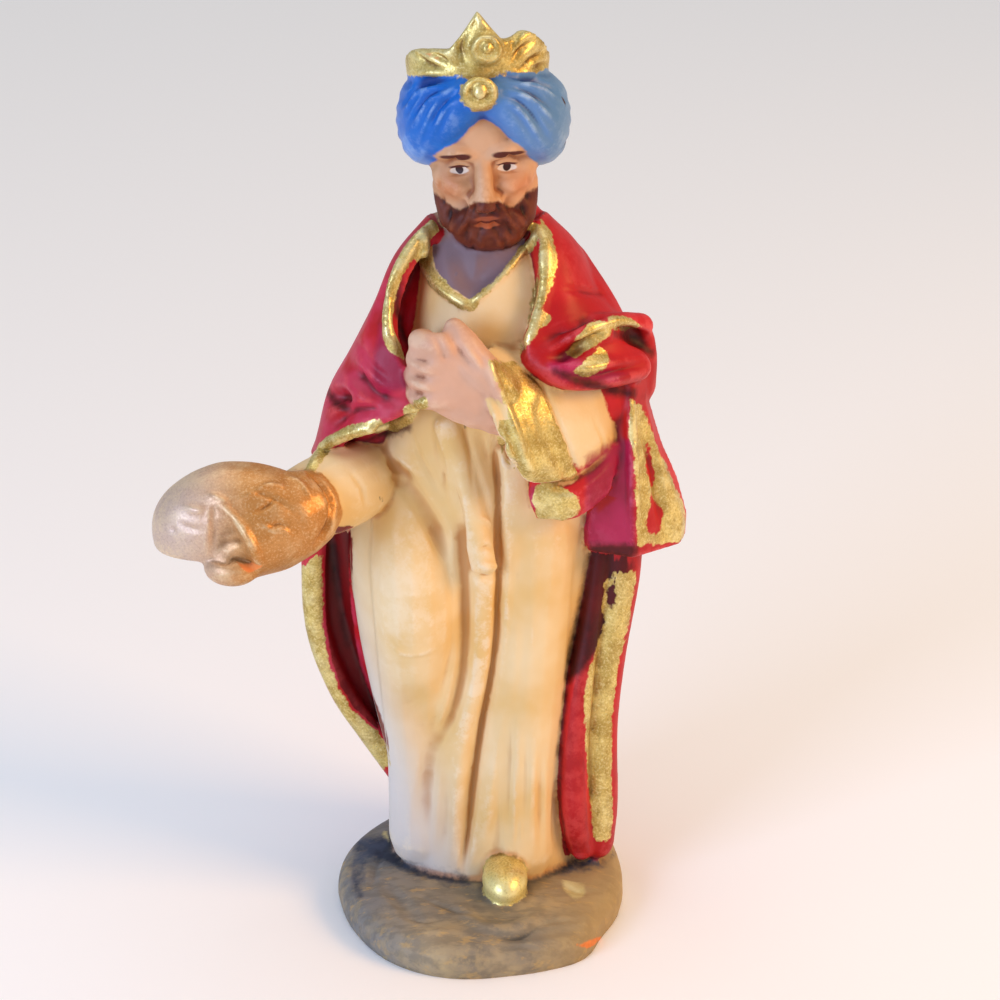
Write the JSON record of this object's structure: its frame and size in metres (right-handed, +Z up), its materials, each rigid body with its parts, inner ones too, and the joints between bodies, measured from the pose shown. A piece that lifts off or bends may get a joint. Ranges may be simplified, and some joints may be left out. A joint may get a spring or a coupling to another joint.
{
  "type": "nativity wise man figurine",
  "caption": "Standing robed king with turban and crown, hand on chest and a gift held out, on a round of ground; decorative painted terracotta nativity figure.",
  "frame": {"origin": "centre of the round ground base, on its flat underside", "axes": "+Z up, the figure looks along -Y and holds the gift out towards -X with its own right hand"},
  "size_m": [0.0657, 0.0413, 0.1205],
  "materials": {
    "painted_terracotta": "hand-painted terracotta, satin"
  },
  "bodies": {
    "root": {"wise_man": "painted_terracotta"}
  },
  "joints": []
}
